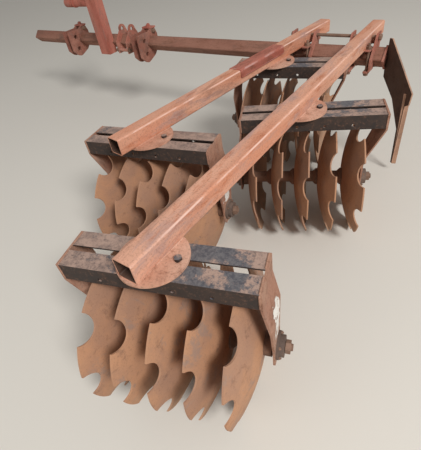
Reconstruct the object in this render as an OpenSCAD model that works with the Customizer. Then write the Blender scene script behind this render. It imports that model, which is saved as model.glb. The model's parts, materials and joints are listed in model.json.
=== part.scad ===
/* [Discs] */
// Diameter of a disc
disc_d = 610; // [590:5:620]
// Thickness of a disc
disc_t = 6; // [4:1:8]
// Radius of the sphere that a disc is dished to
dish_r = 700; // [650:10:900]
// Distance from one disc to the next
disc_pitch = 125; // [120:1:128]
// Notches round the rim of a disc
notch_count = 8; // [6:1:10]
// Radius of a notch
notch_r = 57; // [40:1:60]
// How far outside the rim a notch is centred
notch_out = 4; // [0:1:10]

/* [Axles] */
// Side of the square axle bar
axle_side = 32; // [28:1:36]
// Radial clearance of an axle journal in its bearing
bearing_fit = 0.05; // [0.02:0.01:0.1]
// Radius of a spool where it bears on a disc
spool_r = 45; // [38:1:50]
// Radius of a spool at its waist
spool_waist_r = 30; // [27:1:34]
// Radius of a bearing housing
bearing_r = 40; // [36:1:44]
// Radius of the flange that bolts a bearing to its hanger
bearing_flange_r = 52; // [50:1:54]
// Length of a bearing housing
bearing_l = 27; // [22:1:30]
// Radius across the corners of an axle nut
axle_nut_r = 25; // [20:1:28]

/* [Gang frames] */
// Length of a rail
rail_l = 674; // [660:2:690]
// Leg of the angle section of a rail
rail_leg = 70; // [64:1:76]
// Thickness of that angle section
rail_t = 6; // [5:1:8]
// Gap between the two rails
rail_gap = 24; // [24:1:30]
// Height of the rails over the tops of the discs
rail_rise = 15; // [5:1:20]
// Distance from one scraper hole to the next
rail_hole_pitch = 128; // [120:1:132]
// Height of the scraper holes over the foot of a rail
rail_hole_up = 22; // [16:1:35]
// Radius of a scraper hole in a rail
rail_hole_r = 7; // [5:0.5:9]
// Thickness of an axle hanger
hanger_t = 8; // [6:1:10]
// How far the hanger on the hollow side of the discs is cranked inwards
hanger_crank = 75; // [60:1:86]
// How far the hanger on the bulging side of the discs is cranked outwards
hanger_flare = 24; // [16:1:36]
// Half width of a hanger at its foot
hanger_half = 57; // [53:1:60]
// How far the discs sit off the middle of the rails, towards their bulging side
disc_lead = 0; // [0:1:8]

/* [Pivots] */
// Radius of a pivot plate under a beam
pivot_r = 122; // [118:1:130]
// Thickness of a pivot plate
pivot_t = 10; // [8:1:12]
// Radius of the king pin of a pivot
king_r = 11; // [9:0.5:11]
// Radius of the clamp bolts of a pivot
clamp_bolt_r = 8; // [6:0.5:9]
// Distance of the clamp bolts from the king pin
clamp_arm = 88; // [84:1:94]
// Swing of a gang to each side that the slots allow, in degrees
swing = 4; // [3:0.5:4]
// Thickness of the saddle that joins a pair of rails
saddle_t = 12; // [10:1:16]

/* [Beams and toolbar] */
// Side of the square beams
beam_side = 80; // [76:1:90]
// Wall of the beams and the toolbar
tube_wall = 5; // [4:0.5:8]
// Outer corner radius of the beams and the toolbar
tube_round = 10; // [9:1:12]
// Side of the square toolbar, which stands on edge
bar_side = 90; // [86:1:96]
// Length of the toolbar left of the hitch
bar_left = 1223; // [1100:1:1400]
// Length of the toolbar right of the hitch
bar_right = 2502; // [2500:1:2520]
// Reach of the beams past the toolbar
beam_front = 263; // [200:1:300]
// Distance of the right beam from the hitch
beam_right_x = 2367; // [2360:1:2380]
// Length of the right beam behind the toolbar
beam_right_rear = 2134; // [2110:1:2200]
// Distance of the left beam's free end from the hitch
beam_left_x = 1775; // [1770:1:1780]
// Length of the left beam behind the toolbar
beam_left_rear = 1611; // [1600:1:1650]
// Skew of the left beam, in degrees
beam_left_skew = 6.96; // [6:0.02:7]

/* [Hitch] */
// Distance between the middles of the two lower link brackets
link_spacing = 965; // [940:1:990]
// Radius of the lower link pin holes
link_pin_r = 18.5; // [14:0.5:19]
// Clear width between the two plates of a bracket
link_mouth = 60; // [50:1:70]
// Thickness of a bracket plate
link_plate_t = 16; // [12:1:20]
// Width of the mast tube across the machine
mast_w = 125; // [110:1:130]
// Depth of the mast tube
mast_d = 90; // [80:1:100]
// Height of the top of the mast tube
mast_top = 1215; // [1180:1:1260]
// Radius of the upper link pin hole
top_pin_r = 16; // [12:0.5:16]

/* [Shield] */
// Thickness of the soil shield
shield_t = 8; // [6:1:10]
// Turn of the shield away from the toolbar, in degrees
shield_turn = 49.6; // [45:0.1:55]

/* [Hidden] */
$fn = 64;
// Small overlap that makes a cut clean
eps = 0.5;
// Gap between surfaces that swivel on each other
swivel_gap = 0.3;

// Heights, from the floor up
disc_r = disc_d / 2;
axle_z = disc_r;
rail_low = disc_d + rail_rise;
rail_top = rail_low + rail_leg;
pivot_low = rail_top + swivel_gap;
beam_low = pivot_low + pivot_t;
beam_top = beam_low + beam_side;
bar_ridge = bar_side / sqrt(2) - tube_round * (sqrt(2) - 1);
bar_z = beam_low - bar_ridge - 1;

// Each gang: distance behind the toolbar, angle to it, which beam, bulge of the discs to the
// right (1) or left (-1), shift of the rails to the right of the pivot, and the turn of the
// notches of its five discs
GANG_BACK = 0;
GANG_ANGLE = 1;
GANG_BEAM = 2;
GANG_BULGE = 3;
GANG_SHIFT = 4;
GANG_TURNS = 5;
RIGHT = 0;
LEFT = 1;
gang_a = [2022, 18.4, RIGHT, 1, 20, [43, 43, 20, 20, 35]];
gang_b = [1420, 13.2, LEFT, 1, 4, [22, 0, 24, 2, 12]];
gang_c = [922, 24.3, RIGHT, -1, 47, [35, 0, 23, 23, 0]];
gang_d = [352, 13.0, LEFT, -1, 97, [23, 43, 25, 0, 23]];

function beam_x(beam, y) = beam == RIGHT ? beam_right_x
    : beam_left_x + tan(beam_left_skew) * (y + beam_left_rear);
function beam_turn(beam) = beam == RIGHT ? 0 : -beam_left_skew;
function gang_shift(gang) = gang[GANG_SHIFT] * gang[GANG_BULGE];
function gang_turn(gang) = gang[GANG_ANGLE] + (gang[GANG_BULGE] < 0 ? 180 : 0);

// Discs and what is strung on an axle, along the axle from the middle of the rails
disc_count = 5;
function disc_at(k) = (k - (disc_count - 1) / 2) * disc_pitch + disc_lead;
dish_depth = dish_r - sqrt(dish_r * dish_r - disc_r * disc_r);
hub_bulge = disc_at(disc_count - 1) + dish_depth + disc_t;
hub_hollow = disc_at(0) + dish_depth;
run_gap = 7;
end_bulge = rail_l / 2 + hanger_flare;
end_hollow = rail_l / 2 - hanger_crank;
journal_r = axle_side / 2;
nut_l = 18;
thread_l = 4;
nut_gap = 2;

// Hangers
hanger_waist_z = axle_z + 130;
hanger_shoulder_z = rail_low - 8;
box_half = rail_gap / 2 + rail_leg;
hanger_hole_r = journal_r + 8;

// Shield, in its own plane: distance from the toolbar and height
shield_web = [[-26, 547], [-26, 625], [0, 756], [35, 762], [353, 550], [345, 480], [308, 460],
    [306, 64], [290, 64], [274, 296], [154, 446]];
shield_bar_low = 61;
shield_bar_high = 530;
shield_bar = [[2, shield_bar_low], [25, shield_bar_low], [23, shield_bar_high], [-17, shield_bar_high]];
shield_bar_at = 300;
shield_bar_turn = 62;
lug_w = 12;
shield_root = bar_right + lug_w + 1;
shield_reach = [cos(shield_turn) * shield_bar_at, sin(shield_turn) * shield_bar_at];

// The whole machine is centred on its own outline
turn_a = gang_a[GANG_ANGLE];
shield_lead = shield_bar_turn - shield_turn;
notch_half = acos((disc_r * disc_r + pow(disc_r + notch_out, 2) - notch_r * notch_r)
    / (2 * disc_r * (disc_r + notch_out)));
notch_off = abs(gang_a[GANG_TURNS][0] - 360 / notch_count);
rear_reach = disc_r * cos(max(0, notch_half - notch_off));
x_low = -bar_left;
web_high = cos(shield_turn) * shield_web[4][0] + sin(shield_turn) * shield_t / 2;
bar_high = shield_reach[0] + cos(shield_lead) * shield_bar[1][0]
    + sin(shield_lead) * shield_t / 2;
x_high = shield_root + max(web_high, bar_high);
y_low = -gang_a[GANG_BACK] + sin(turn_a) * (disc_at(0) + gang_shift(gang_a)) - cos(turn_a) * rear_reach;
y_high = beam_front + sin(beam_left_skew) * beam_side / 2;
origin_x = (x_low + x_high) / 2;
origin_y = (y_low + y_high) / 2;

module machine() {
    translate([-origin_x, -origin_y, 0]) children();
}

// Flat outlines
module rounded_square(side, round) {
    square([side - 2 * round, side], center = true);
    square([side, side - 2 * round], center = true);
    for (x = [-1, 1], y = [-1, 1])
        translate([x, y] * (side / 2 - round)) circle(round);
}
module square_tube(side, wall, round) {
    difference() {
        rounded_square(side, round);
        rounded_square(side - 2 * wall, round - wall);
    }
}
module slot(width, length) {
    square([width, length - width], center = true);
    for (side = [-1, 1])
        translate([0, side * (length - width) / 2]) circle(width / 2);
}

// Turns an outline so that its second direction is up and it is extruded along X or along Y
module along_x(length) {
    rotate([90, 0, 90]) linear_extrude(length, center = true) children();
}
module along_y(length) {
    rotate([90, 0, 0]) linear_extrude(length, center = true) children();
}

// Toolbar
module bar_solid(grow = 0) {
    translate([(bar_right - bar_left) / 2, 0, bar_z]) rotate([45, 0, 0])
        along_x(bar_left + bar_right + 2 * grow) rounded_square(bar_side + 2 * grow, tube_round);
}
module toolbar() {
    color("sienna") machine()
        translate([(bar_right - bar_left) / 2, 0, bar_z]) rotate([45, 0, 0])
            along_x(bar_left + bar_right) square_tube(bar_side, tube_wall, tube_round);
}

// Beams
tie_y = 12;
tie_z = beam_low + 52;
tie_r = 10;
module tie_hole() {
    translate([0, tie_y, tie_z]) rotate([0, 90, 0]) cylinder(h = 6000, r = tie_r + 1, center = true);
}
module beam_tube(length) {
    translate([0, length / 2, beam_low + beam_side / 2])
        along_y(length) square_tube(beam_side, tube_wall, tube_round);
}
module beam_right() {
    color("indianred") machine() difference() {
        translate([beam_right_x, -beam_right_rear, 0]) beam_tube(beam_right_rear + beam_front);
        tie_hole();
    }
}
module on_left_beam() {
    translate([beam_left_x, -beam_left_rear, 0]) rotate(-beam_left_skew) children();
}
left_beam_l = (beam_left_rear + beam_front) / cos(beam_left_skew);
module beam_left() {
    color("indianred") machine() difference() {
        on_left_beam() beam_tube(left_beam_l);
        tie_hole();
    }
}

// A channel of plate welded over the left beam where it was joined
splice_from = 880;
splice_l = 420;
splice_t = 5;
module beam_splice() {
    color("brown") machine() on_left_beam()
        translate([0, splice_from + splice_l / 2, beam_low + beam_side / 2]) {
            difference() {
                along_y(splice_l) rounded_square(beam_side + 2 * splice_t, tube_round + splice_t);
                along_y(splice_l + 2 * eps) rounded_square(beam_side + 0.2, tube_round);
                translate([0, 0, -beam_side / 2]) cube([2 * beam_side, splice_l + 2 * eps, beam_side],
                    center = true);
            }
        }
}

// Plates that stand on both sides of a beam and seat on the toolbar
clamp_plate_t = 10;
clamp_plate_out = 76;
module clamp_plate() {
    along_x(clamp_plate_t) polygon([[-14, beam_top - 4], [52, beam_top - 4], [52, bar_z + 20],
        [-30, bar_z - 62], [-98, bar_z - 62], [-98, bar_z + 12]]);
}
module clamp_plates(beam) {
    color("indianred") machine() difference() {
        translate([beam_x(beam, 0), 0, 0])
            for (side = [-1, 1])
                translate([side * clamp_plate_out, 0, 0]) clamp_plate();
        bar_solid(0.3);
        tie_hole();
    }
}
module clamp_plates_right() {
    clamp_plates(RIGHT);
}
module clamp_plates_left() {
    clamp_plates(LEFT);
}

// A long bolt through both beams and their clamp plates
tie_end = clamp_plate_out + clamp_plate_t / 2 + 16;
module tie_rod() {
    color("dimgray") machine() {
        from_x = beam_x(LEFT, 0) - tie_end;
        to_x = beam_x(RIGHT, 0) + tie_end;
        translate([from_x, tie_y, tie_z]) rotate([0, 90, 0]) {
            cylinder(h = to_x - from_x, r = tie_r);
            cylinder(h = 14, r = 18, $fn = 6);
            translate([0, 0, to_x - from_x - 14]) cylinder(h = 14, r = 18, $fn = 6);
        }
    }
}

// Mast
mast_y = -bar_side / 2 - mast_d / 2 + 8;
mast_low = bar_z - 88;
mast_wall = 8;
module mast_outline(w, d) {
    square([w, d], center = true);
}
module mast() {
    color("indianred") machine() difference() {
        translate([0, mast_y, mast_low]) linear_extrude(mast_top - mast_low) difference() {
            mast_outline(mast_w, mast_d);
            mast_outline(mast_w - 2 * mast_wall, mast_d - 2 * mast_wall);
        }
        bar_solid(0.2);
    }
}
stub_r = 38;
stub_l = 330;
stub_z = 985;
module mast_stub() {
    color("indianred") machine()
        translate([-mast_w / 2, mast_y, stub_z]) rotate([0, -90, 0]) difference() {
            union() {
                cylinder(h = stub_l, r = stub_r - 4);
                translate([0, 0, stub_l - 90]) cylinder(h = 90, r = stub_r);
                translate([0, 0, stub_l - 130]) cylinder(h = 16, r = stub_r + 3);
            }
            translate([0, 0, 6]) cylinder(h = stub_l, r = stub_r - 10);
        }
}
ear_t = 14;
ear_gap = 52;
ear_z = mast_top + 55;
ear_y = mast_y;
module mast_ears() {
    color("indianred") machine() for (side = [-1, 1])
        translate([side * (ear_gap + ear_t) / 2, 0, 0]) along_x(ear_t) difference() {
            union() {
                translate([ear_y - 38, mast_top]) square([76, 55]);
                translate([ear_y, ear_z]) circle(38);
            }
            translate([ear_y, ear_z]) circle(top_pin_r);
        }
}

// Pair of plates clamped on the toolbar beside the mast
mast_clamp_x = 225;
mast_clamp_out = 62;
mast_clamp_t = 14;
module mast_clamp() {
    color("indianred") machine() difference() {
        translate([mast_clamp_x, 0, bar_z]) {
            for (side = [-1, 1])
                translate([side * mast_clamp_out, 0, 0]) along_x(mast_clamp_t) difference() {
                    union() {
                        polygon([[-95, -80], [-95, 20], [-20, 105], [50, 105], [75, 60], [40, -10], [-20, -80]]);
                        translate([12, 105]) circle(38);
                    }
                    translate([12, 108]) circle(16);
                }
            translate([0, -84, -50]) rotate([0, 90, 0]) cylinder(h = 2 * mast_clamp_out, r = 14, center = true);
        }
        bar_solid(0.2);
    }
}

// Lower link brackets: a pair of plates that the toolbar passes through
link_hole_y = -90;
link_hole_high = 40;
link_hole_low = -66;
link_boss_r = 44;
module link_outline() {
    difference() {
        union() {
            polygon([[-165, 98], [-20, 98], [20, 118], [58, 118], [82, 60], [82, -30], [10, -100],
                [-60, -128], [-128, -120], [-165, -80]]);
            translate([link_hole_y, link_hole_low - 20]) circle(link_boss_r + 6);
        }
        translate([link_hole_y, link_hole_high]) circle(link_pin_r);
        translate([link_hole_y, link_hole_low]) circle(link_pin_r);
    }
}
module link_bracket(x) {
    color("indianred") machine() difference() {
        translate([x, 0, bar_z]) {
            for (side = [-1, 1])
                translate([side * (link_mouth + link_plate_t) / 2, 0, 0]) along_x(link_plate_t) link_outline();
            translate([0, 34, 92]) rotate([0, 90, 0]) cylinder(h = link_mouth + 2, r = 14, center = true);
            translate([0, 40, -50]) rotate([0, 90, 0]) cylinder(h = link_mouth + 2, r = 12, center = true);
        }
        bar_solid(0.2);
    }
}
module link_bracket_right() {
    link_bracket(link_spacing / 2);
}
module link_bracket_left() {
    link_bracket(-link_spacing / 2);
}

// Soil shield at the right end of the toolbar
module shield_lug() {
    color("indianred") machine() translate([bar_right, 0, bar_z]) {
        translate([lug_w / 2, 0, 0]) rotate([45, 0, 0]) along_x(lug_w) square(bar_side + 12, center = true);
    }
}
module shield() {
    color("peru") machine() difference() {
        translate([shield_root, 2, 0]) rotate(-shield_turn) {
            along_y(shield_t) polygon(shield_web);
            translate([shield_bar_at, 0, 0]) rotate(shield_bar_turn)
                along_y(shield_t) polygon(shield_bar);
        }
        translate([bar_right + lug_w + 0.3 - 200, -200, bar_z - 200]) cube([200, 400, 500]);
    }
}

// Pivot plates, each with its king pin and nut
king_nut_l = 18;
module at_gang(gang) {
    machine() translate([beam_x(gang[GANG_BEAM], -gang[GANG_BACK]), -gang[GANG_BACK], 0])
        rotate(gang_turn(gang)) children();
}
module at_rails(gang) {
    at_gang(gang) translate([gang_shift(gang), 0, 0]) children();
}
saddle_top = rail_top - rail_t;
saddle_low = saddle_top - saddle_t;
module pivot_plate(gang) {
    color("indianred") at_gang(gang) {
        translate([0, 0, pivot_low]) linear_extrude(pivot_t) difference() {
            circle(pivot_r);
            for (side = [-1, 1])
                translate([side * clamp_arm, 0])
                    slot(2 * clamp_bolt_r + 1, 2 * clamp_bolt_r + 1 + 2 * clamp_arm * sin(swing));
        }
        translate([0, 0, saddle_low - swivel_gap - king_nut_l])
            cylinder(h = pivot_low - saddle_low + swivel_gap + king_nut_l + 1, r = king_r);
        translate([0, 0, saddle_low - swivel_gap - king_nut_l]) cylinder(h = king_nut_l, r = king_r * 1.7, $fn = 6);
    }
}

// Gang frame
module rail_section() {
    polygon([[0, 0], [0, rail_leg], [rail_leg, rail_leg], [rail_leg, rail_leg - rail_t],
        [rail_t, rail_leg - rail_t], [rail_t, 0]]);
}
module rails(gang) {
    color("dimgray") at_rails(gang)
        for (side = [0, 180])
            rotate(side) difference() {
                along_x(rail_l) translate([-box_half, rail_low]) rail_section();
                for (k = [-1.5, -0.5, 0.5, 1.5])
                    translate([k * rail_hole_pitch, -box_half, rail_low + rail_hole_up]) rotate([90, 0, 0])
                        cylinder(h = 4 * rail_t, r = rail_hole_r, center = true);
            }
}
saddle_half = clamp_arm + 22;
bolt_head_l = 10;
module saddle(gang) {
    color("saddlebrown") at_gang(gang) {
        translate([0, 0, saddle_low]) linear_extrude(saddle_t) difference() {
            square([2 * saddle_half, 2 * (box_half - rail_t) - 1], center = true);
            circle(king_r + bearing_fit);
        }
        for (side = [-1, 1])
            translate([side * clamp_arm, 0, 0]) {
                translate([0, 0, saddle_low - 12]) cylinder(h = 12 + 1, r = clamp_bolt_r * 1.75, $fn = 6);
                translate([0, 0, saddle_low]) cylinder(h = beam_low + swivel_gap + bolt_head_l - saddle_low,
                    r = clamp_bolt_r);
                translate([0, 0, beam_low + swivel_gap]) cylinder(h = bolt_head_l, r = clamp_bolt_r * 1.75, $fn = 6);
            }
    }
}

// Front of a hanger: as wide as the rails down to its shoulder, narrow at the axle
foot_low = axle_z - hanger_half - 4;
foot_cut = 16;
module hanger_front(shoulder, waist) {
    difference() {
        polygon([[-box_half, rail_top], [box_half, rail_top], [box_half, shoulder],
            [hanger_half, waist], [hanger_half, foot_low + foot_cut],
            [hanger_half - foot_cut, foot_low], [foot_cut - hanger_half, foot_low],
            [-hanger_half, foot_low + foot_cut], [-hanger_half, waist], [-box_half, shoulder]]);
        translate([0, axle_z]) circle(hanger_hole_r);
    }
}
// Side of a hanger that hangs at the end of the rails and has its foot further in or out
module hanger_side(foot, bend) {
    top = rail_l / 2;
    low = foot_low - 1;
    polygon([[top, rail_top + 1], [top + hanger_t, rail_top + 1], [top + hanger_t, hanger_shoulder_z],
        [foot + hanger_t, bend], [foot + hanger_t, low], [foot, low], [foot, bend],
        [top, hanger_shoulder_z]]);
}
flare_z = axle_z + 187;
hanger_reach = hanger_crank + hanger_flare + hanger_t;
module hangers(gang) {
    color("tan") at_rails(gang) {
        intersection() {
            along_y(2 * box_half) hanger_side(end_bulge, flare_z);
            translate([rail_l / 2, 0, 0]) along_x(2 * hanger_reach) hanger_front(flare_z, axle_z + 40);
        }
        intersection() {
            rotate(180) along_y(2 * box_half) hanger_side(end_hollow, hanger_waist_z);
            translate([-rail_l / 2, 0, 0]) along_x(2 * hanger_reach)
                hanger_front(hanger_shoulder_z, hanger_waist_z);
        }
    }
}
module bearing() {
    difference() {
        union() {
            cylinder(h = 9, r = bearing_flange_r);
            cylinder(h = bearing_l, r = bearing_r);
        }
        translate([0, 0, -eps]) cylinder(h = bearing_l + 2 * eps, r = journal_r + bearing_fit);
    }
}
module bearings(gang) {
    color("gray") at_rails(gang) {
        translate([end_bulge + hanger_t, 0, axle_z]) rotate([0, 90, 0]) bearing();
        translate([-end_hollow - hanger_t, 0, axle_z]) rotate([0, -90, 0]) bearing();
    }
}

// Rolling parts
face_bulge = end_bulge + hanger_t + bearing_l;
face_hollow = end_hollow + hanger_t + bearing_l;
module axle_end(length) {
    cylinder(h = length + thread_l + nut_gap + nut_l, r = journal_r - 3);
    cylinder(h = length + nut_gap, r = journal_r);
    translate([0, 0, length + nut_gap]) cylinder(h = nut_l, r = axle_nut_r, $fn = 6);
}
module axle(gang) {
    color("rosybrown") at_rails(gang) translate([0, 0, axle_z]) {
        translate([(end_bulge - end_hollow) / 2, 0, 0])
            cube([end_bulge + end_hollow - 2 * run_gap, axle_side, axle_side], center = true);
        translate([end_bulge - run_gap, 0, 0]) rotate([0, 90, 0]) axle_end(face_bulge - end_bulge + run_gap);
        translate([-end_hollow + run_gap, 0, 0]) rotate([0, -90, 0]) axle_end(face_hollow - end_hollow + run_gap);
    }
}
module dish_sphere(k, radius) {
    translate([disc_at(k) + dish_depth - dish_r, 0, 0]) rotate([0, 90, 0]) sphere(radius, $fn = 144);
}
module square_bore() {
    cube([3 * rail_l, axle_side + 1, axle_side + 1], center = true);
}
spool_seat = 0.2;
module spool_form(from, to) {
    flare = (spool_r - spool_waist_r);
    translate([from, 0, 0]) rotate([0, 90, 0]) rotate_extrude()
        polygon([[0, 0], [spool_r, 0], [spool_r, 14], [spool_waist_r, 14 + flare],
            [spool_waist_r, to - from - 14 - flare], [spool_r, to - from - 14], [spool_r, to - from], [0, to - from]]);
}
module spools(gang) {
    color("gray") at_rails(gang) translate([0, 0, axle_z]) {
        for (k = [0:disc_count - 2])
            difference() {
                intersection() {
                    spool_form(disc_at(k) + dish_depth + disc_t - 6, disc_at(k + 1) + dish_depth);
                    dish_sphere(k + 1, dish_r - spool_seat);
                }
                dish_sphere(k, dish_r + disc_t + spool_seat);
                square_bore();
            }
        difference() {
            intersection() {
                translate([-end_hollow + run_gap, 0, 0]) rotate([0, 90, 0])
                    cylinder(h = hub_hollow + end_hollow - run_gap, r = spool_r);
                dish_sphere(0, dish_r - spool_seat);
            }
            square_bore();
        }
        difference() {
            translate([hub_bulge - 6, 0, 0]) rotate([0, 90, 0])
                cylinder(h = end_bulge - run_gap - hub_bulge + 6, r = spool_r);
            dish_sphere(disc_count - 1, dish_r + disc_t + spool_seat);
            square_bore();
        }
    }
}
module disc(k, turn) {
    difference() {
        intersection() {
            dish_sphere(k, dish_r + disc_t);
            translate([disc_at(k) - eps, 0, 0]) rotate([0, 90, 0])
                cylinder(h = dish_depth + disc_t + 2 * eps, r = disc_r, $fn = 144);
        }
        dish_sphere(k, dish_r);
        for (n = [0:notch_count - 1])
            rotate([turn + n * 360 / notch_count, 0, 0])
                translate([disc_at(k) - 5, disc_r + notch_out, 0]) rotate([0, 90, 0])
                    cylinder(h = dish_depth + 10, r = notch_r);
        square_bore();
    }
}
module discs(gang) {
    color("sienna") at_rails(gang) translate([0, 0, axle_z])
        for (k = [0:disc_count - 1])
            disc(k, gang[GANG_TURNS][k]);
}

toolbar();
beam_right();
beam_left();
beam_splice();
clamp_plates_right();
clamp_plates_left();
tie_rod();
mast();
mast_stub();
mast_ears();
mast_clamp();
link_bracket_right();
link_bracket_left();
shield_lug();
shield();
pivot_plate(gang_a);  // pivot_plate_a
pivot_plate(gang_b);  // pivot_plate_b
pivot_plate(gang_c);  // pivot_plate_c
pivot_plate(gang_d);  // pivot_plate_d
rails(gang_a);  // rails_a
rails(gang_b);  // rails_b
rails(gang_c);  // rails_c
rails(gang_d);  // rails_d
saddle(gang_a);  // saddle_a
saddle(gang_b);  // saddle_b
saddle(gang_c);  // saddle_c
saddle(gang_d);  // saddle_d
hangers(gang_a);  // hangers_a
hangers(gang_b);  // hangers_b
hangers(gang_c);  // hangers_c
hangers(gang_d);  // hangers_d
bearings(gang_a);  // bearings_a
bearings(gang_b);  // bearings_b
bearings(gang_c);  // bearings_c
bearings(gang_d);  // bearings_d
axle(gang_a);  // axle_a
axle(gang_b);  // axle_b
axle(gang_c);  // axle_c
axle(gang_d);  // axle_d
spools(gang_a);  // spools_a
spools(gang_b);  // spools_b
spools(gang_c);  // spools_c
spools(gang_d);  // spools_d
discs(gang_a);  // discs_a
discs(gang_b);  // discs_b
discs(gang_c);  // discs_c
discs(gang_d);  // discs_d
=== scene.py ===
import json
import math
import random

import bmesh
import bpy
from mathutils import Matrix, Vector, noise


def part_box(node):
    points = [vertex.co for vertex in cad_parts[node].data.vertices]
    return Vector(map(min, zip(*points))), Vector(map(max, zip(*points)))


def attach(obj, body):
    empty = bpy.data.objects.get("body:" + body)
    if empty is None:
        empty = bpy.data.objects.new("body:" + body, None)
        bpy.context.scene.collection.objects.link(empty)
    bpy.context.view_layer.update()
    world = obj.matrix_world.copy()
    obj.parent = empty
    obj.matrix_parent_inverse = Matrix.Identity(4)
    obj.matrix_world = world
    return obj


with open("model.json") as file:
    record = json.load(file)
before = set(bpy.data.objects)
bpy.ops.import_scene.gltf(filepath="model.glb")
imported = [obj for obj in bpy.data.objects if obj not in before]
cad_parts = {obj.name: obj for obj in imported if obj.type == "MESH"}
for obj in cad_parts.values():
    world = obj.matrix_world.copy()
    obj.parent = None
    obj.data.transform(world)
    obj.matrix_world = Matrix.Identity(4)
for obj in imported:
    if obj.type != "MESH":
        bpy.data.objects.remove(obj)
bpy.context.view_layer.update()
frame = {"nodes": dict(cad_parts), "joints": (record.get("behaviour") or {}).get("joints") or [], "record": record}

NODES = frame["nodes"]
UP = Vector((0, 0, 1))
ALONG_BAR = Vector((1, 0, 0))
ACROSS_BAR = Vector((0, 1, 0))

# Sizes of the solids that the added pieces seat on, in metres
AXLE_Z = 0.305
BEARING_L = 0.027
BEARING_FLANGE_T = 0.009
BEARING_BOLT_R = 0.046
RAIL_W = 0.070
TUBE_ROUND = 0.010
CLAMP_PLATE_T = 0.010

# The slanting part of the hangers on the discs' bulging side: where it starts, its height, and how
# far in its top is set
FLARE_Z = 0.492
FLARE_HIGH = 0.125
FLARE_OUT = 0.024

# Half the width of the beams' bore and a little over, inside which their colour is darkened as painted shade
BORE_HALF = 0.0357

# The beams, and the toolbar that stands on edge
BEAM_LOW, BEAM_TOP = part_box("beam_right")[0][2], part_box("beam_right")[1][2]
BEAM_HALF = (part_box("beam_right")[1][0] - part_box("beam_right")[0][0]) / 2
BAR_Y = (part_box("toolbar")[0][1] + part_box("toolbar")[1][1]) / 2
BAR_LOW, BAR_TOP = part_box("toolbar")[0][2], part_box("toolbar")[1][2]
BAR_Z = (BAR_LOW + BAR_TOP) / 2

# Threads: radius of the groove and of the tip as shares of the thread's own, and pitch
THREAD_ROOT = 0.9
THREAD_TIP = 0.82
THREAD_PITCH = 0.0025
AXLE_THREAD_R = 0.0131
AXLE_THREAD_L = 0.008

# Nuts: width across flats, height, and length of thread that shows past the nut
BEARING_NUT = (0.011, 0.006, 0.003)
HITCH_NUT = (0.030, 0.018, 0.008)
STUD_NUT = (0.026, 0.014, 0.0)
CAP_NUT = (0.030, 0.016, 0.004)

# Radii of the weld beads, and the sides of their section
RAIL_WELD_R = 0.0035
PIVOT_WELD_R = 0.0055
SPLICE_WELD_R = 0.0045
MAST_WELD_R = 0.005
SHIELD_WELD_R = 0.004
BEAD_SIDES = 8

# Toolbar clamps: studs go through a shelf beside the beam and through a strap under the toolbar.
# OFF is how far from the toolbar's middle line, and SUNK how far into the beam's wall.
STUD_R = 0.008
STUD_OFF = 0.080
STUD_ABOVE = 0.034
STUD_BELOW = 0.012
SHELF_OFF = 0.078
SHELF_L = 0.058
SHELF_T = 0.010
SHELF_SUNK = 0.004
STRAP_W = 0.030
STRAP_L = 0.200
STRAP_T = 0.012

# Cross bolts at the hitch: how far each lies from the toolbar's middle along Y and upwards
BRACKET_BOLTS = ((0.034, 0.092), (0.040, -0.050))
MAST_CLAMP_BOLTS = ((-0.084, -0.050),)

# Caps on the lower link brackets: how much longer than the bracket is wide, width, thickness, and
# how far over the plates' tops they sit
CAP_OVER = 0.016
CAP_W = 0.062
CAP_T = 0.012
CAP_SUNK = 0.007

# Broken edges of the plates
EDGE_BEVEL = 0.002

# Old white paint marks: height over the hanger, size of their cells, and flakes to a metre
MARK_SKIN = 0.0004
MARK_CELL = 0.0028
MARK_FLAKES = 34

# Extent of the marks on gangs a and b, on the flat and the slanting part, and of gang d's small mark
MARK_W = 0.112
MARK_LOW = 0.366
MARK_FLARE_L = 0.062
SMALL_MARK_W = 0.108
SMALL_MARK_LOW = 0.36
SMALL_MARK_H = 0.07


# Gangs and beams
class Gang:
    """A gang's own directions at rest: u along its axle to the machine's right, v across it, z up."""

    def __init__(self, name):
        joint = next(j for j in frame["joints"] if j["name"] == "disc_set_%s_roll" % name)
        self.name = name
        self.body = "gang_" + name
        self.rolling = "disc_set_" + name
        self.along = Vector(joint["axis"])
        self.across = UP.cross(self.along)
        self.pivot = Vector((joint["pos_m"][0], joint["pos_m"][1], 0.0))
        self.rails = self.span("rails_", self.along)
        self.rails_v = self.span("rails_", self.across)
        self.bearings = self.span("bearings_", self.along)
        self.axle = self.span("axle_", self.along)

    def span(self, kind, direction):
        ends = [(v.co - self.pivot).dot(direction) for v in NODES[kind + self.name].data.vertices]
        return min(ends), max(ends)

    def at(self, u, v, z):
        return self.pivot + self.along * u + self.across * v + UP * z


class Beam:
    """A beam with its two gangs: ahead runs from its free end to the toolbar, sideways to its right."""

    def __init__(self, side, first, second):
        self.side = side
        self.gangs = (first, second)
        self.start = first.pivot
        self.ahead = (second.pivot - first.pivot).normalized()
        self.sideways = self.ahead.cross(UP)


GANGS = {name: Gang(name) for name in "abcd"}
BEAMS = {"right": Beam("right", GANGS["a"], GANGS["c"]), "left": Beam("left", GANGS["b"], GANGS["d"])}

# Middles of the areas where the rails keep their blue-black paint, on the right half of three gangs,
# and how far from them it starts to give way and ends
BLUE_PATCHES = [GANGS["a"].at(0.18, 0, 0), GANGS["c"].at(0.16, 0, 0), GANGS["d"].at(0.1, 0, 0)]
BLUE_FULL = 0.07
BLUE_END = 0.24


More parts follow.
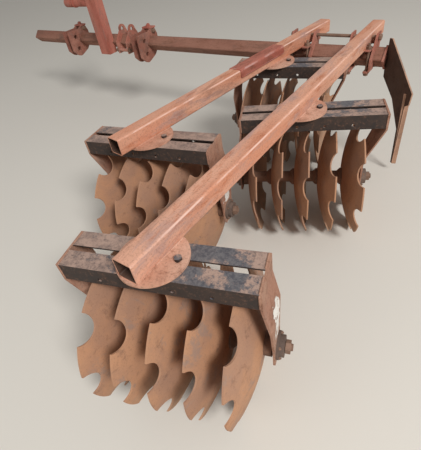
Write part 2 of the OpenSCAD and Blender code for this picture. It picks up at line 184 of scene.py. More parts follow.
# Materials
class Look:
    """A material's node tree, built from small steps."""

    def __init__(self, name):
        self.mat = bpy.data.materials.new(name)
        self.mat.use_nodes = True
        self.tree = self.mat.node_tree
        self.shader = self.tree.nodes["Principled BSDF"]
        self.shader.inputs["Specular IOR Level"].default_value = 0.3
        self.coords = self.tree.nodes.new("ShaderNodeTexCoord").outputs["Object"]

    def link(self, out, socket):
        self.tree.links.new(out, socket)

    def stretched(self, scale):
        """Coordinates scaled along each axis: below 1 draws a pattern out along that axis."""
        node = self.tree.nodes.new("ShaderNodeMapping")
        node.inputs["Scale"].default_value = scale
        self.link(self.coords, node.inputs["Vector"])
        return node.outputs["Vector"]

    def noise(self, scale, detail, rough, warp=0.0, coords=None):
        node = self.tree.nodes.new("ShaderNodeTexNoise")
        node.inputs["Scale"].default_value = scale
        node.inputs["Detail"].default_value = detail
        node.inputs["Roughness"].default_value = rough
        node.inputs["Distortion"].default_value = warp
        self.link(coords if coords else self.coords, node.inputs["Vector"])
        return node.outputs["Fac"]

    def pits(self, scale):
        node = self.tree.nodes.new("ShaderNodeTexVoronoi")
        node.inputs["Scale"].default_value = scale
        self.link(self.coords, node.inputs["Vector"])
        return node.outputs["Distance"]

    def step(self, value, low, high, out_low=0.0, out_high=1.0):
        """A smooth step from out_low, where value is low, to out_high, where it is high."""
        node = self.tree.nodes.new("ShaderNodeMapRange")
        node.interpolation_type = "SMOOTHSTEP"
        node.inputs["From Min"].default_value = low
        node.inputs["From Max"].default_value = high
        node.inputs["To Min"].default_value = out_low
        node.inputs["To Max"].default_value = out_high
        self.link(value, node.inputs["Value"])
        return node.outputs["Result"]

    def combine(self, kind, a, b):
        node = self.tree.nodes.new("ShaderNodeMath")
        node.operation = kind
        for socket, value in zip(node.inputs, (a, b)):
            if isinstance(value, (int, float)):
                socket.default_value = value
            else:
                self.link(value, socket)
        return node.outputs[0]

    def times(self, *values):
        out = values[0]
        for value in values[1:]:
            out = self.combine("MULTIPLY", out, value)
        return out

    def mix(self, factor, a, b):
        """Colour a where factor is 0 and colour b where it is 1."""
        node = self.tree.nodes.new("ShaderNodeMix")
        node.data_type = "RGBA"
        self.link(factor, node.inputs[0])
        for socket, value in ((node.inputs[6], a), (node.inputs[7], b)):
            if isinstance(value, tuple):
                socket.default_value = (*value, 1.0)
            else:
                self.link(value, socket)
        return node.outputs[2]

    def nearness(self, spots, near, far):
        """1 within near of any of the spots and 0 beyond far, level distance only."""
        total = None
        for spot in spots:
            flat = self.tree.nodes.new("ShaderNodeVectorMath")
            flat.operation = "MULTIPLY"
            flat.inputs[1].default_value = (1.0, 1.0, 0.0)
            self.link(self.coords, flat.inputs[0])
            gap = self.tree.nodes.new("ShaderNodeVectorMath")
            gap.operation = "DISTANCE"
            gap.inputs[1].default_value = (spot.x, spot.y, 0.0)
            self.link(flat.outputs[0], gap.inputs[0])
            share = self.step(gap.outputs["Value"], near, far, 1.0, 0.0)
            total = self.combine("MAXIMUM", total, share) if total else share
        return total

    def in_bore(self, middle, turn, half):
        """1 inside a square tube that lies along Y and is turned by turn about Z."""
        node = self.tree.nodes.new("ShaderNodeMapping")
        node.vector_type = "TEXTURE"
        node.inputs["Location"].default_value = middle
        node.inputs["Rotation"].default_value = (0.0, 0.0, turn)
        self.link(self.coords, node.inputs["Vector"])
        part = self.tree.nodes.new("ShaderNodeSeparateXYZ")
        self.link(node.outputs["Vector"], part.inputs[0])
        across = self.combine("ABSOLUTE", part.outputs["X"], 0.0)
        above = self.combine("ABSOLUTE", part.outputs["Z"], 0.0)
        return self.combine("LESS_THAN", self.combine("MAXIMUM", across, above), half)

    def height(self):
        node = self.tree.nodes.new("ShaderNodeSeparateXYZ")
        self.link(self.coords, node.inputs[0])
        return node.outputs["Z"]

    def normal(self, axis):
        node = self.tree.nodes.new("ShaderNodeNewGeometry")
        part = self.tree.nodes.new("ShaderNodeSeparateXYZ")
        self.link(node.outputs["Normal"], part.inputs[0])
        return part.outputs[axis]

    def finish(self, colour, rough, relief, strength, depth):
        """Links the colour, the roughness and the bump, whose depth is in metres."""
        self.link(colour, self.shader.inputs["Base Color"])
        self.link(rough, self.shader.inputs["Roughness"])
        bump = self.tree.nodes.new("ShaderNodeBump")
        bump.inputs["Strength"].default_value = strength
        bump.inputs["Distance"].default_value = depth
        self.link(relief, bump.inputs["Height"])
        self.link(bump.outputs["Normal"], self.shader.inputs["Normal"])
        return self.mat


def worn_paint(name, paint, faded, bloom, rust, deep, wear, along=(1.0, 1.0, 1.0), scuffs=0.0, shaded_bore=None):
    """Old paint: faded in long patches, bloomed, chipped to rust, with scuffed corners.

    bore is the middle and the turn of a tube whose inside is darkened as painted shade.
    """
    look = Look(name)
    run = look.stretched(along)
    clouds = look.noise(4.2, detail=6.0, rough=0.6, warp=0.3, coords=run)
    patches = look.noise(10.0, detail=10.0, rough=0.74, warp=0.3, coords=run)
    scars = look.noise(26.0, detail=9.0, rough=0.76, warp=0.2, coords=run)
    stains = look.noise(3.6, detail=10.0, rough=0.76, warp=0.4, coords=run)
    chips = look.noise(85.0, detail=7.0, rough=0.74, warp=0.2)
    specks = look.noise(130.0, detail=5.0, rough=0.72)
    grain = look.noise(310.0, detail=3.0, rough=0.6)
    skin = look.mix(look.step(clouds, 0.4, 0.6), paint, faded)
    skin = look.mix(look.step(patches, 0.5, 0.64, 0.0, 0.9), skin, bloom)
    skin = look.mix(look.step(scars, 0.5, 0.68, 0.0, 0.85), skin, rust)
    skin = look.mix(look.step(stains, 0.54, 0.64, 0.0, 0.5), skin, deep)
    skin = look.mix(look.step(specks, 0.5, 0.66, 0.0, 0.4), skin, deep)
    # Where the paint is gone, more of it as wear goes up
    worn = look.combine("ADD", look.times(scars, 0.55), look.times(chips, 0.45))
    bare = look.step(worn, 0.66 - 0.2 * wear, 0.74 - 0.2 * wear)
    metal = look.mix(look.step(grain, 0.35, 0.65), rust, deep)
    colour = look.mix(bare, skin, metal)
    if scuffs:
        # The rounded upper corners are rubbed pale
        lift = look.normal("Z")
        corner = look.times(look.step(lift, 0.2, 0.5), look.step(lift, 0.75, 0.97, 1.0, 0.0))
        rub = look.noise(26.0, detail=8.0, rough=0.7, warp=0.2, coords=run)
        pale = tuple(min(1.0, 0.2 + 0.78 * c) for c in faded)
        colour = look.mix(look.times(corner, look.step(rub, 0.42, 0.6), scuffs), colour, pale)
    # Painted shade: the faces inside the tube are coloured near black
    if shaded_bore:
        dark = (0.035, 0.022, 0.016)
        colour = look.mix(look.times(look.in_bore(*shaded_bore, BORE_HALF), 0.9), colour, dark)
    relief = look.combine("SUBTRACT", look.times(grain, 0.3), look.times(bare, 0.8))
    relief = look.combine("ADD", relief, look.times(clouds, 1.2))
    return look.finish(colour, look.step(scars, 0.35, 0.6, 0.68, 0.92), relief, strength=0.5, depth=0.0014)


def rusty(name, light, mid, dark, scale=1.0, bloom=None, earth=None, inner=None):
    """Rusted steel or iron: broad clouds, mill-scale patches, pits, and soil low down.

    inner is a darker colour put on the faces that look to the machine's left as painted shade.
    """
    look = Look(name)
    clouds = look.noise(4.5 * scale, detail=7.0, rough=0.66, warp=0.4)
    spots = look.noise(21.0 * scale, detail=9.0, rough=0.75, warp=0.2)
    fine = look.noise(160.0 * scale, detail=5.0, rough=0.68)
    pits = look.pits(240.0 * scale)
    colour = look.mix(look.step(clouds, 0.36, 0.64), mid, light)
    colour = look.mix(look.step(spots, 0.54, 0.7, 0.0, 0.65), colour, dark)
    colour = look.mix(look.step(fine, 0.52, 0.74, 0.0, 0.5), colour, dark)
    if bloom:
        patch = look.noise(6.0 * scale, detail=10.0, rough=0.74, warp=0.5)
        colour = look.mix(look.step(patch, 0.55, 0.63, 0.0, 0.75), colour, bloom)
    if earth:
        low = look.step(look.height(), 0.03, 0.3, 1.0, 0.0)
        clods = look.noise(9.0, detail=8.0, rough=0.7, warp=1.0)
        colour = look.mix(look.times(low, look.step(clods, 0.36, 0.6), 0.8), colour, earth)
    if inner:
        # Painted shade: the faces that look to the machine's left take the darker inner colour
        left = look.step(look.normal("X"), -0.65, -0.4, 0.88, 0.0)
        colour = look.mix(left, colour, inner)
    relief = look.combine("ADD", look.times(spots, 0.9), look.times(fine, 0.4))
    relief = look.combine("SUBTRACT", relief, look.step(pits, 0.0, 0.3, 0.35, 0.0))
    return look.finish(colour, look.step(spots, 0.3, 0.7, 0.66, 0.92), relief, strength=0.55, depth=0.0012)


def rail_paint(name):
    """Black paint that is bleached brown-grey on top and keeps blue-black patches; its vertical faces are made
    darker still as painted shade.
    """
    look = Look(name)
    top = look.step(look.normal("Z"), 0.5, 0.85)
    clouds = look.noise(5.0, detail=8.0, rough=0.72, warp=0.3)
    patches = look.noise(17.0, detail=10.0, rough=0.78, warp=0.2)
    chips = look.noise(70.0, detail=8.0, rough=0.76, warp=0.2)
    grain = look.noise(300.0, detail=3.0, rough=0.6)
    near = look.nearness(BLUE_PATCHES, BLUE_FULL, BLUE_END)
    bleached = look.mix(look.step(patches, 0.42, 0.6), (0.42, 0.285, 0.225), (0.25, 0.175, 0.145))
    bleached = look.mix(look.step(chips, 0.5, 0.64, 0.0, 0.7), bleached, (0.12, 0.09, 0.08))
    kept = look.combine("ADD", look.times(clouds, 0.55), look.times(patches, 0.55))
    kept = look.combine("ADD", kept, look.times(near, 0.125))
    blue = look.step(kept, 0.61, 0.68, 0.0, 0.92)
    blue_black = look.mix(look.step(chips, 0.4, 0.62), (0.07, 0.073, 0.088), (0.16, 0.156, 0.16))
    above = look.mix(blue, bleached, blue_black)
    # The vertical faces: black paint, darkened further as painted shade
    painted_shade_flank = look.mix(look.step(patches, 0.38, 0.66), (0.034, 0.026, 0.023), (0.062, 0.041, 0.032))
    painted_shade_flank = look.mix(look.step(chips, 0.52, 0.66), painted_shade_flank, (0.13, 0.07, 0.047))
    colour = look.mix(top, painted_shade_flank, above)
    relief = look.combine("ADD", look.times(grain, 0.3), look.times(chips, 0.7))
    return look.finish(colour, look.step(patches, 0.3, 0.7, 0.55, 0.85), relief, strength=0.5, depth=0.001)


def beam_paint(beam):
    """The beams' paint, faded lengthwise, on one beam, with painted shade inside its tube."""
    low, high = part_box("beam_" + beam.side)
    middle = (beam.start.x, beam.start.y, (low[2] + high[2]) / 2)
    turn = math.atan2(beam.ahead.x, beam.ahead.y)
    return worn_paint(
        "beam_paint_" + beam.side, paint=(0.61, 0.26, 0.155), faded=(0.7, 0.37, 0.25),
        bloom=(0.46, 0.28, 0.235), rust=(0.48, 0.155, 0.07), deep=(0.15, 0.07, 0.045),
        wear=0.42, along=(1.0, 0.22, 1.0), scuffs=1.0, shaded_bore=(middle, -turn))


def white_paint(name):
    look = Look(name)
    patches = look.noise(30.0, detail=8.0, rough=0.7, warp=0.8)
    chips = look.noise(120.0, detail=6.0, rough=0.7)
    colour = look.mix(look.step(patches, 0.46, 0.7, 0.0, 0.8), (0.78, 0.74, 0.68), (0.5, 0.4, 0.32))
    colour = look.mix(look.step(chips, 0.58, 0.7, 0.0, 0.85), colour, (0.25, 0.14, 0.09))
    return look.finish(colour, look.step(chips, 0.4, 0.7, 0.5, 0.85), chips, strength=0.4, depth=0.0006)


# Keys are material slots, and the two nodes that have a look of their own
LOOKS = {
    "beam_right": beam_paint(BEAMS["right"]),
    "beam_left": beam_paint(BEAMS["left"]),
    "bar_rust": worn_paint(
        "bar_rust", paint=(0.25, 0.105, 0.07), faded=(0.31, 0.145, 0.1), bloom=(0.2, 0.1, 0.07),
        rust=(0.18, 0.078, 0.046), deep=(0.08, 0.044, 0.03), wear=0.5, along=(0.25, 1.0, 1.0)),
    "splice_paint": worn_paint(
        "splice_paint", paint=(0.32, 0.08, 0.052), faded=(0.44, 0.15, 0.105), bloom=(0.58, 0.28, 0.2),
        rust=(0.2, 0.075, 0.045), deep=(0.09, 0.045, 0.03), wear=0.3, along=(1.0, 0.3, 1.0), scuffs=0.8),
    "clamp_paint": worn_paint(
        "clamp_paint", paint=(0.42, 0.15, 0.105), faded=(0.5, 0.22, 0.16), bloom=(0.33, 0.17, 0.13),
        rust=(0.25, 0.1, 0.06), deep=(0.1, 0.05, 0.035), wear=0.35),
    "mast_paint": worn_paint(
        "mast_paint", paint=(0.4, 0.115, 0.08), faded=(0.5, 0.18, 0.13), bloom=(0.36, 0.16, 0.125),
        rust=(0.26, 0.09, 0.055), deep=(0.1, 0.05, 0.034), wear=0.25, along=(1.0, 1.0, 0.35)),
    "bracket_paint": worn_paint(
        "bracket_paint", paint=(0.3, 0.115, 0.08), faded=(0.4, 0.18, 0.13), bloom=(0.26, 0.14, 0.11),
        rust=(0.2, 0.085, 0.052), deep=(0.09, 0.048, 0.034), wear=0.4),
    "pivot_paint": worn_paint(
        "pivot_paint", paint=(0.56, 0.29, 0.195), faded=(0.66, 0.39, 0.28), bloom=(0.44, 0.22, 0.15),
        rust=(0.34, 0.15, 0.09), deep=(0.13, 0.065, 0.042), wear=0.35),
    "rail_steel": rail_paint("rail_steel"),
    "hanger_paint": worn_paint(
        "hanger_paint", paint=(0.36, 0.18, 0.12), faded=(0.42, 0.24, 0.165), bloom=(0.3, 0.18, 0.135),
        rust=(0.24, 0.11, 0.065), deep=(0.1, 0.055, 0.038), wear=0.4),
    # The shield's web that looks to the machine's left gets painted shade through inner
    "shield_rust": rusty(
        "shield_rust", light=(0.5, 0.29, 0.19), mid=(0.36, 0.205, 0.135), dark=(0.14, 0.08, 0.055),
        scale=0.8, bloom=(0.27, 0.175, 0.13), inner=(0.045, 0.029, 0.023)),
    "cast_grey": rusty(
        "cast_grey", light=(0.2, 0.14, 0.11), mid=(0.13, 0.09, 0.072), dark=(0.06, 0.042, 0.034),
        scale=1.4),
    "spool_iron": rusty(
        "spool_iron", light=(0.24, 0.13, 0.085), mid=(0.16, 0.088, 0.058), dark=(0.07, 0.042, 0.031),
        scale=1.2, earth=(0.36, 0.27, 0.185)),
    "bare_steel": rusty(
        "bare_steel", light=(0.3, 0.18, 0.125), mid=(0.19, 0.115, 0.08), dark=(0.085, 0.055, 0.042),
        scale=1.5),
    "disc_rust": rusty(
        "disc_rust", light=(0.48, 0.25, 0.14), mid=(0.38, 0.21, 0.135), dark=(0.19, 0.105, 0.072),
        bloom=(0.31, 0.21, 0.165), earth=(0.36, 0.24, 0.16)),
}
WHITE = white_paint("white_paint")


def dress_nodes():
    """Gives each CAD node its own look, or else the look of its slot."""
    for part in frame["record"]["subparts"]:
        node = NODES[part["node"]]
        look = LOOKS[part["node"] if part["node"] in LOOKS else part["material_slot"]]
        node.data.materials.clear()
        node.data.materials.append(look)


# Building blocks of the pieces
def basis(axis):
    """A turn that takes +Z to axis."""
    return UP.rotation_difference(Vector(axis).normalized()).to_matrix().to_4x4()


def piece(name, bm, body, slot, look=None, smooth=False):
    """Makes bm an object that rides on body, in its slot's look or another."""
    mesh = bpy.data.meshes.new(name)
    bm.to_mesh(mesh)
    bm.free()
    for face in mesh.polygons:
        face.use_smooth = smooth
    obj = bpy.data.objects.new(name, mesh)
    bpy.context.scene.collection.objects.link(obj)
    mesh.materials.append(look if look else LOOKS[slot])
    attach(obj, body)


def turned(bm, outline, place, sides):
    """Adds a solid of revolution to bm: outline is [(radius, height)], and 6 sides make a hexagon."""
    rings = []
    for radius, height in outline:
        ring = []
        for k in range(sides):
            angle = k * math.tau / sides
            spot = Vector((radius * math.cos(angle), radius * math.sin(angle), height))
            ring.append(bm.verts.new(place @ spot))
        rings.append(ring)
    for low, high in zip(rings, rings[1:]):
        for k in range(sides):
            bm.faces.new((low[k], low[(k + 1) % sides], high[(k + 1) % sides], high[k]))
    bm.faces.new(rings[0][::-1])
    bm.faces.new(rings[-1])


def thread(radius, start, length):
    """The outline of a threaded end with a chamfer."""
    rings = [(radius, start)]
    turns = max(2, int(length / THREAD_PITCH))
    pitch = length / turns
    for k in range(turns):
        z = start + length * k / turns
        rings += [(radius * THREAD_ROOT, z + pitch * 0.3), (radius, z + pitch * 0.8)]
    rings.append((radius * THREAD_TIP, start + length))
    return rings


def nut(bm, foot, axis, size, rng, washer=True):
    """A chamfered hex nut, on a washer or without, with a threaded end through it."""
    across, head, tail = size
    r = across / math.sqrt(3)
    place = Matrix.Translation(Vector(foot)) @ basis(axis) @ Matrix.Rotation(rng.random(), 4, "Z")
    base = across * 0.12 if washer else 0.0
    if washer:
        turned(bm, [(r * 1.25, -0.0005), (r * 1.25, base * 0.8), (r * 1.18, base)], place, 24)
    turned(bm, [(r * 0.93, base - 0.0004), (r, base + head * 0.1), (r, base + head * 0.88),
                (r * 0.88, base + head)], place, 6)
    if tail:
        turned(bm, thread(across * 0.3, base + head * 0.5, head * 0.5 + tail), place, 14)


def nuts(name, spots, body, size, washer=True):
    """Nuts at spots, which is [(foot, axis)], in one mesh."""
    rng = random.Random(name)
    bm = bmesh.new()
    for foot, axis in spots:
        nut(bm, foot, axis, size, rng, washer)
    piece(name, bm, body, "bare_steel")


def bead(name, runs, body, slot, radius):
    """Weld beads: rippled tubes along runs of points, half sunk in their corners."""
    rng = random.Random(name)
    bm = bmesh.new()
    for run in runs:
        points = [Vector(p) for p in run]
        walk = []
        for start, end in zip(points, points[1:]):
            count = max(2, int((end - start).length / (radius * 0.5)))
            walk += [(start.lerp(end, k / count), (end - start).normalized()) for k in range(count)]
        walk.append((points[-1], (points[-1] - points[-2]).normalized()))
        previous = None
        for k, (centre, heading) in enumerate(walk):
            # Ripples along the bead, which thins out at its two ends
            swell = 0.84 + 0.2 * abs(math.sin(k * 0.9)) + rng.uniform(-0.05, 0.05)
            swell *= 0.5 if k in (0, len(walk) - 1) else 1.0
            turn = basis(heading).to_3x3()
            shake = turn @ Vector((rng.uniform(-1, 1), rng.uniform(-1, 1), 0)) * radius * 0.07
            ring = []
            for n in range(BEAD_SIDES):
                angle = n * math.tau / BEAD_SIDES
                edge = turn @ Vector((math.cos(angle), math.sin(angle), 0)) * radius * swell
                ring.append(bm.verts.new(centre + shake + edge))
            if previous:
                for n in range(BEAD_SIDES):
                    after = (n + 1) % BEAD_SIDES
                    bm.faces.new((previous[n], previous[after], ring[after], ring[n]))
            else:
                bm.faces.new(ring[::-1])
            previous = ring
        bm.faces.new(previous)
    piece(name, bm, body, slot, smooth=True)


def block(bm, centre, sizes):
    """Adds a plate with broken edges to bm."""
    new = bmesh.ops.create_cube(bm, size=1.0)["verts"]
    for vert in new:
        vert.co = Vector(centre) + Vector([c * s for c, s in zip(vert.co, sizes)])
    edges = list({e for v in new for e in v.link_edges})
    bmesh.ops.bevel(bm, geom=edges, offset=EDGE_BEVEL, segments=2, profile=0.5, affect="EDGES")


def paint_mark(name, corner, across, up, inside, body, seed):
    """Old white paint on a face: a thin skin of small cells, flaked away by noise.

    corner is the low corner, across and up are the sides of its box, and inside(s, t) tells how
    sound the paint is at a share of each side.
    """
    bm = bmesh.new()
    wide, high = int(across.length / MARK_CELL), int(up.length / MARK_CELL)
    verts = {}

    def vert(i, j):
        if (i, j) not in verts:
            verts[i, j] = bm.verts.new(corner + across * (i / wide) + up * (j / high))
        return verts[i, j]

    for i in range(wide):
        for j in range(high):
            s, t = (i + 0.5) / wide, (j + 0.5) / high
            spot = Vector((s * across.length * MARK_FLAKES, t * up.length * MARK_FLAKES, seed))
            flake = noise.fractal(spot, 1.0, 2.0, 6) * 0.55
            if inside(s, t) + flake > 0.0:
                bm.faces.new((vert(i, j), vert(i + 1, j), vert(i + 1, j + 1), vert(i, j + 1)))
    piece(name, bm, body, "hanger_paint", look=WHITE)


# Pieces on the gangs
def bearing_bolts(gang):
    """Bolts that hold the bearing flanges on the hangers, four to a bearing."""
    spots = []
    for lean, end in ((-1, gang.bearings[0]), (1, gang.bearings[1])):
        face = end - lean * (BEARING_L - BEARING_FLANGE_T)
        for k in range(4):
            angle = math.radians(45 + 90 * k)
            v, z = BEARING_BOLT_R * math.cos(angle), AXLE_Z + BEARING_BOLT_R * math.sin(angle)
            spots.append((gang.at(face, v, z), gang.along * lean))
    nuts("bearing_bolts_" + gang.name, spots, gang.body, BEARING_NUT, washer=False)


def axle_threads(gang):
    """Threaded ends of the axle, half sunk in it."""
    bm = bmesh.new()
    for lean, end in ((-1, gang.axle[0]), (1, gang.axle[1])):
        foot = gang.at(end - lean * AXLE_THREAD_L / 2, 0, AXLE_Z)
        place = Matrix.Translation(foot) @ basis(gang.along * lean)
        turned(bm, thread(AXLE_THREAD_R, 0.0, AXLE_THREAD_L), place, 18)
    piece("axle_threads_" + gang.name, bm, gang.rolling, "bare_steel")


def rail_welds(gang):
    """Welds of the rails' ends on the hangers: up each outer side and across each top."""
    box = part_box("rails_" + gang.name)
    low, top = box[0][2], box[1][2]
    v_low, v_high = gang.rails_v
    gap = (v_high - v_low) / 2 - RAIL_W
    proud = 0.0005
    foot_in, top_in, inner_in, outer_in = 0.004, 0.002, 0.004, 0.003
    runs = []
    for u in gang.rails:
        for v in (v_low, v_high):
            side = 1 if v > 0 else -1
            edge = v + side * proud
            runs.append([gang.at(u, edge, low + foot_in), gang.at(u, edge, top - top_in)])
            runs.append([gang.at(u, side * (gap + inner_in), top + proud),
                         gang.at(u, v - side * outer_in, top + proud)])
    bead("rail_welds_" + gang.name, runs, gang.body, "hanger_paint", RAIL_WELD_R)


# Pieces on the beams
def pivot_welds(beam):
    """Welds along both sides of the beam, over its two round pivot plates."""
    side_in, weld_up, end_in = 0.0035, 0.0015, 0.006
    offset = BEAM_HALF - side_in
    runs = []
    for gang in beam.gangs:
        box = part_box("pivot_plate_" + gang.name)
        reach = (box[1][0] - box[0][0]) / 2
        half = math.sqrt(reach * reach - offset * offset) - end_in
        for lean in (-1, 1):
            middle = gang.pivot + beam.sideways * lean * offset + UP * (BEAM_LOW + weld_up)
            runs.append([middle - beam.ahead * half, middle + beam.ahead * half])
    bead("pivot_welds_" + beam.side, runs, "frame", "pivot_paint", PIVOT_WELD_R)


def toolbar_clamp(beam):
    """Shelves between the beam and its clamp plates, straps under the toolbar, and their studs."""
    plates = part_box("clamp_plates_" + beam.side)
    plate_in = (plates[1][0] - plates[0][0]) / 2 - CLAMP_PLATE_T
    over_bar = beam.start + beam.ahead * ((BAR_Y - beam.start.y) / beam.ahead.y)
    middle_w = (plate_in + BEAM_HALF) / 2
    shelf_top = BEAM_LOW + SHELF_T
    strap_low = BAR_LOW - STRAP_T
    stud_low = strap_low - STUD_BELOW
    shelves, studs = bmesh.new(), bmesh.new()
    rng = random.Random(beam.side)
    for lean in (-1, 1):
        for end in (-1, 1):
            # The shelf starts inside the beam's wall, which may run askew
            off = end * STUD_OFF
            inner = lean * off * beam.ahead.x / beam.ahead.y + BEAM_HALF - SHELF_SUNK
            shelf = over_bar + ALONG_BAR * lean * (inner + plate_in) / 2 + UP * (BEAM_LOW + SHELF_T / 2)
            block(shelves, shelf + ACROSS_BAR * end * SHELF_OFF, (plate_in - inner, SHELF_L, SHELF_T))
            foot = over_bar + ALONG_BAR * lean * middle_w + ACROSS_BAR * off
            stud = Matrix.Translation(foot + UP * stud_low)
            turned(studs, thread(STUD_R, 0.0, shelf_top + STUD_ABOVE - stud_low), stud, 14)
            nut(studs, foot + UP * shelf_top, UP, STUD_NUT, rng)
            nut(studs, foot + UP * strap_low, -UP, STUD_NUT, rng)
        strap = over_bar + ALONG_BAR * lean * middle_w + UP * (BAR_LOW - STRAP_T / 2)
        block(shelves, strap, (STRAP_W, STRAP_L, STRAP_T))
    piece("clamp_shelves_" + beam.side, shelves, "frame", "clamp_paint")
    piece("clamp_studs_" + beam.side, studs, "frame", "bare_steel")


def splice_welds(beam):
    """Welds round the ends and along the low edges of the plate over the left beam."""
    ends = [(v.co - beam.start).dot(beam.ahead) for v in NODES["beam_splice"].data.vertices]
    near, far = min(ends), max(ends)
    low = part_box("beam_splice")[0][2]
    proud = 0.002
    out = BEAM_HALF + proud
    top = BEAM_TOP + proud
    mid_round = TUBE_ROUND * 0.35
    outline = (
        (-out, low), (-out, top - TUBE_ROUND), (-out + mid_round, top - mid_round),
        (-out + TUBE_ROUND, top), (out - TUBE_ROUND, top),
        (out - mid_round, top - mid_round), (out, top - TUBE_ROUND), (out, low))
    runs = []
    for end in (near, far):
        runs.append([beam.start + beam.ahead * end + beam.sideways * s + UP * z for s, z in outline])
    for side in (-1, 1):
        edge = beam.start + beam.sideways * side * out + UP * low
        runs.append([edge + beam.ahead * near, edge + beam.ahead * far])
    bead("splice_welds", runs, "frame", "splice_paint", SPLICE_WELD_R)


# Pieces at the hitch and the shield
def cross_nuts(name, nodes, bolts):
    """Nuts on both ends of the cross bolts through each node's plates."""
    spots = []
    for node in nodes:
        low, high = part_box(node)
        for x, lean in ((low[0], -1), (high[0], 1)):
            spots += [((x, BAR_Y + y, BAR_Z + z), ALONG_BAR * lean) for y, z in bolts]
    nuts(name, spots, "frame", HITCH_NUT)


def bracket_cap(side):
    """The cap that ties the two plates of a bracket together at their tops."""
    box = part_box("link_bracket_" + side)
    peak = box[1][2]
    tops = [v.co.y for v in NODES["link_bracket_" + side].data.vertices if v.co.z > peak - CAP_T]
    x, y = (box[0][0] + box[1][0]) / 2, (min(tops) + max(tops)) / 2
    low = peak - CAP_SUNK
    cap = bmesh.new()
    block(cap, (x, y, low + CAP_T / 2), (box[1][0] - box[0][0] + CAP_OVER, CAP_W, CAP_T))
    nut(cap, (x, y, low + CAP_T), UP, CAP_NUT, random.Random(side))
    piece("bracket_cap_" + side, cap, "frame", "mast_paint")


def mast_welds():
    """Welds round the side pipe, and where the mast sits on the toolbar."""
    stub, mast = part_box("mast_stub"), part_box("mast")
    ring_r, steps, proud = 0.035, 32, 0.001
    y, z = (stub[0][1] + stub[1][1]) / 2, (stub[0][2] + stub[1][2]) / 2
    ring = []
    for k in range(steps + 1):
        angle = k * math.tau / steps
        ring.append((mast[0][0] - proud, y + ring_r * math.cos(angle), z + ring_r * math.sin(angle)))
    runs = [ring]
    # From the toolbar's near edge up its slanting face to the mast's back
    near_edge, edge_up, back_up = 0.058, 0.002, 0.022
    for x in (mast[0][0], mast[1][0]):
        runs.append([(x, BAR_Y - near_edge, BAR_Z + edge_up), (x, mast[1][1], BAR_Z + back_up)])
    bead("mast_welds", runs, "frame", "mast_paint", MAST_WELD_R)


def ear_welds():
    """Welds of the upper link ears on the mast's top."""
    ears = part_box("mast_ears")
    end_in, weld_z = 0.004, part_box("mast")[1][2] + 0.001
    runs = [[(x, ears[0][1] + end_in, weld_z), (x, ears[1][1] - end_in, weld_z)]
            for x in (ears[0][0], ears[1][0])]
    bead("ear_welds", runs, "frame", "mast_paint", MAST_WELD_R)


def shield_welds():
    """A weld down the lug that carries the shield."""
    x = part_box("shield_lug")[1][0] + 0.001
    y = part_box("shield")[1][1] - 0.004
    run = [(x, y, BAR_Z - 0.09), (x, y, BAR_Z - 0.02)]
    bead("shield_welds", [run], "frame", "shield_rust", SHIELD_WELD_R)


# Paint marks
def flat_mark(s, t):
    """How sound the paint is on a hanger's flat part: slanting, and thinner at the foot."""
    return 0.34 - 0.9 * abs(s - 0.55 - 0.2 * t) - 0.8 * max(0.0, 0.4 - t)


def flare_mark(s, t):
    """How sound that mark is on the hanger's slanting part, where it runs out upwards."""
    return 0.36 - 0.7 * abs(s - 0.68) - 1.1 * max(0.0, t - 0.45)


def small_mark(s, t):
    """How sound the small mark is: most in its middle."""
    return 0.5 - 1.3 * abs(s - 0.45) - 1.1 * abs(t - 0.5)


def paint_marks():
    """Marks on the outer faces of the right hangers of gangs a, b and d."""
    for gang, seed in ((GANGS["a"], 3.0), (GANGS["b"], 11.0)):
        face = gang.bearings[1] - BEARING_L + MARK_SKIN
        across = gang.across * MARK_W
        flare = UP - gang.along * (FLARE_OUT / FLARE_HIGH)
        low = gang.at(face, -MARK_W / 2, MARK_LOW)
        paint_mark("white_mark_low_" + gang.name, low, across, UP * (FLARE_Z - MARK_LOW), flat_mark,
                   gang.body, seed)
        high = gang.at(face + MARK_SKIN, -MARK_W / 2, FLARE_Z + 0.001)
        paint_mark("white_mark_high_" + gang.name, high, across, flare * MARK_FLARE_L, flare_mark,
                   gang.body, seed + 4.0)
    gang = GANGS["d"]
    corner = gang.at(gang.bearings[1] - BEARING_L + MARK_SKIN, -SMALL_MARK_W / 2, SMALL_MARK_LOW)
    paint_mark("white_mark_d", corner, gang.across * SMALL_MARK_W, UP * SMALL_MARK_H, small_mark,
               gang.body, 19.0)


dress_nodes()
for one in GANGS.values():
    bearing_bolts(one)
    axle_threads(one)
    rail_welds(one)
for one in BEAMS.values():
    pivot_welds(one)
    toolbar_clamp(one)
splice_welds(BEAMS["left"])
cross_nuts("bracket_nuts", ("link_bracket_left", "link_bracket_right"), BRACKET_BOLTS)
bracket_cap("left")
bracket_cap("right")
cross_nuts("mast_clamp_nuts", ("mast_clamp",), MAST_CLAMP_BOLTS)
mast_welds()
ear_welds()
shield_welds()
paint_marks()


# Camera
CAMERA_PLACE = Vector((2.3001, -1.4406, 1.512))
CAMERA_HEADING = math.radians(42.02)
CAMERA_PITCH = math.radians(41.45)
CAMERA_ROLL = math.radians(-10.57)
CAMERA_SENSOR = 36.0
CAMERA_LENS = 28.889


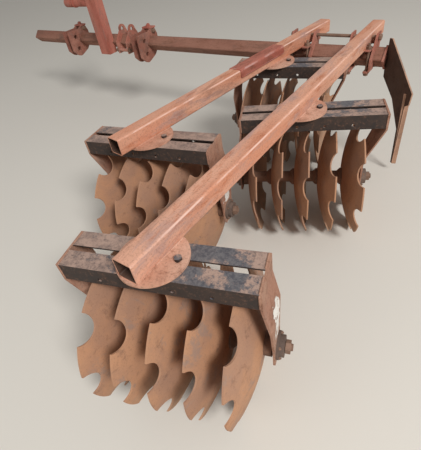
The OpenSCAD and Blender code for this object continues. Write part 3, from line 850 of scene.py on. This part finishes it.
def camera():
    """The photograph's camera: place, heading, pitch and roll in the frame's directions."""
    place, heading, pitch, roll = CAMERA_PLACE, CAMERA_HEADING, CAMERA_PITCH, CAMERA_ROLL
    ahead = Vector((-math.sin(heading), math.cos(heading), 0))
    right = Vector((math.cos(heading), math.sin(heading), 0))
    forward = ahead * math.cos(pitch) - UP * math.sin(pitch)
    above = ahead * math.sin(pitch) + UP * math.cos(pitch)
    side = right * math.cos(roll) + above * math.sin(roll)
    top = above * math.cos(roll) - right * math.sin(roll)
    data = bpy.data.cameras.new("camera")
    data.sensor_fit = "AUTO"
    data.sensor_width = CAMERA_SENSOR
    data.lens = CAMERA_LENS
    data.clip_end = 100.0
    obj = bpy.data.objects.new("camera", data)
    bpy.context.scene.collection.objects.link(obj)
    obj.matrix_world = Matrix((
        (side.x, top.x, -forward.x, place.x),
        (side.y, top.y, -forward.y, place.y),
        (side.z, top.z, -forward.z, place.z),
        (0, 0, 0, 1)))
    bpy.context.scene.camera = obj


# Stage
FLOOR_HALF = 30.0
FLOOR_COLOUR = (0.71, 0.67, 0.6, 1)
WORLD_STRENGTH = 0.36
# Lamps: name, place, the spot that they face, size in metres and power in watts
LAMPS = (
    ("key", Vector((8.2, -3.0, 7.2)), Vector((0.3, 0.0, 0.3)), 2.6, 800),
    ("fill", Vector((-2.0, -7.0, 4.0)), Vector((0.2, 0.0, 0.4)), 4.0, 70),
)


def pale_floor():
    """The plain floor."""
    mesh = bpy.data.meshes.new("floor")
    corners = [(FLOOR_HALF * x, FLOOR_HALF * y, 0) for x, y in ((-1, -1), (1, -1), (1, 1), (-1, 1))]
    mesh.from_pydata(corners, [], [(0, 1, 2, 3)])
    floor = bpy.data.objects.new("floor", mesh)
    bpy.context.scene.collection.objects.link(floor)
    mat = bpy.data.materials.new("floor")
    mat.use_nodes = True
    shader = mat.node_tree.nodes["Principled BSDF"]
    shader.inputs["Base Color"].default_value = FLOOR_COLOUR
    shader.inputs["Roughness"].default_value = 0.9
    mesh.materials.append(mat)


def lights():
    """An even sky and two large soft lamps."""
    world = bpy.data.worlds.new("world")
    bpy.context.scene.world = world
    world.use_nodes = True
    world.node_tree.nodes["Background"].inputs["Color"].default_value = (1, 1, 1, 1)
    world.node_tree.nodes["Background"].inputs["Strength"].default_value = WORLD_STRENGTH
    for name, place, aim, size, power in LAMPS:
        data = bpy.data.lights.new(name, "AREA")
        data.size = size
        data.energy = power
        obj = bpy.data.objects.new(name, data)
        bpy.context.scene.collection.objects.link(obj)
        facing = (aim - place).to_track_quat("-Z", "Y").to_matrix().to_4x4()
        obj.matrix_world = Matrix.Translation(place) @ facing


camera()
pale_floor()
lights()
bpy.context.scene.view_settings.view_transform = "Standard"
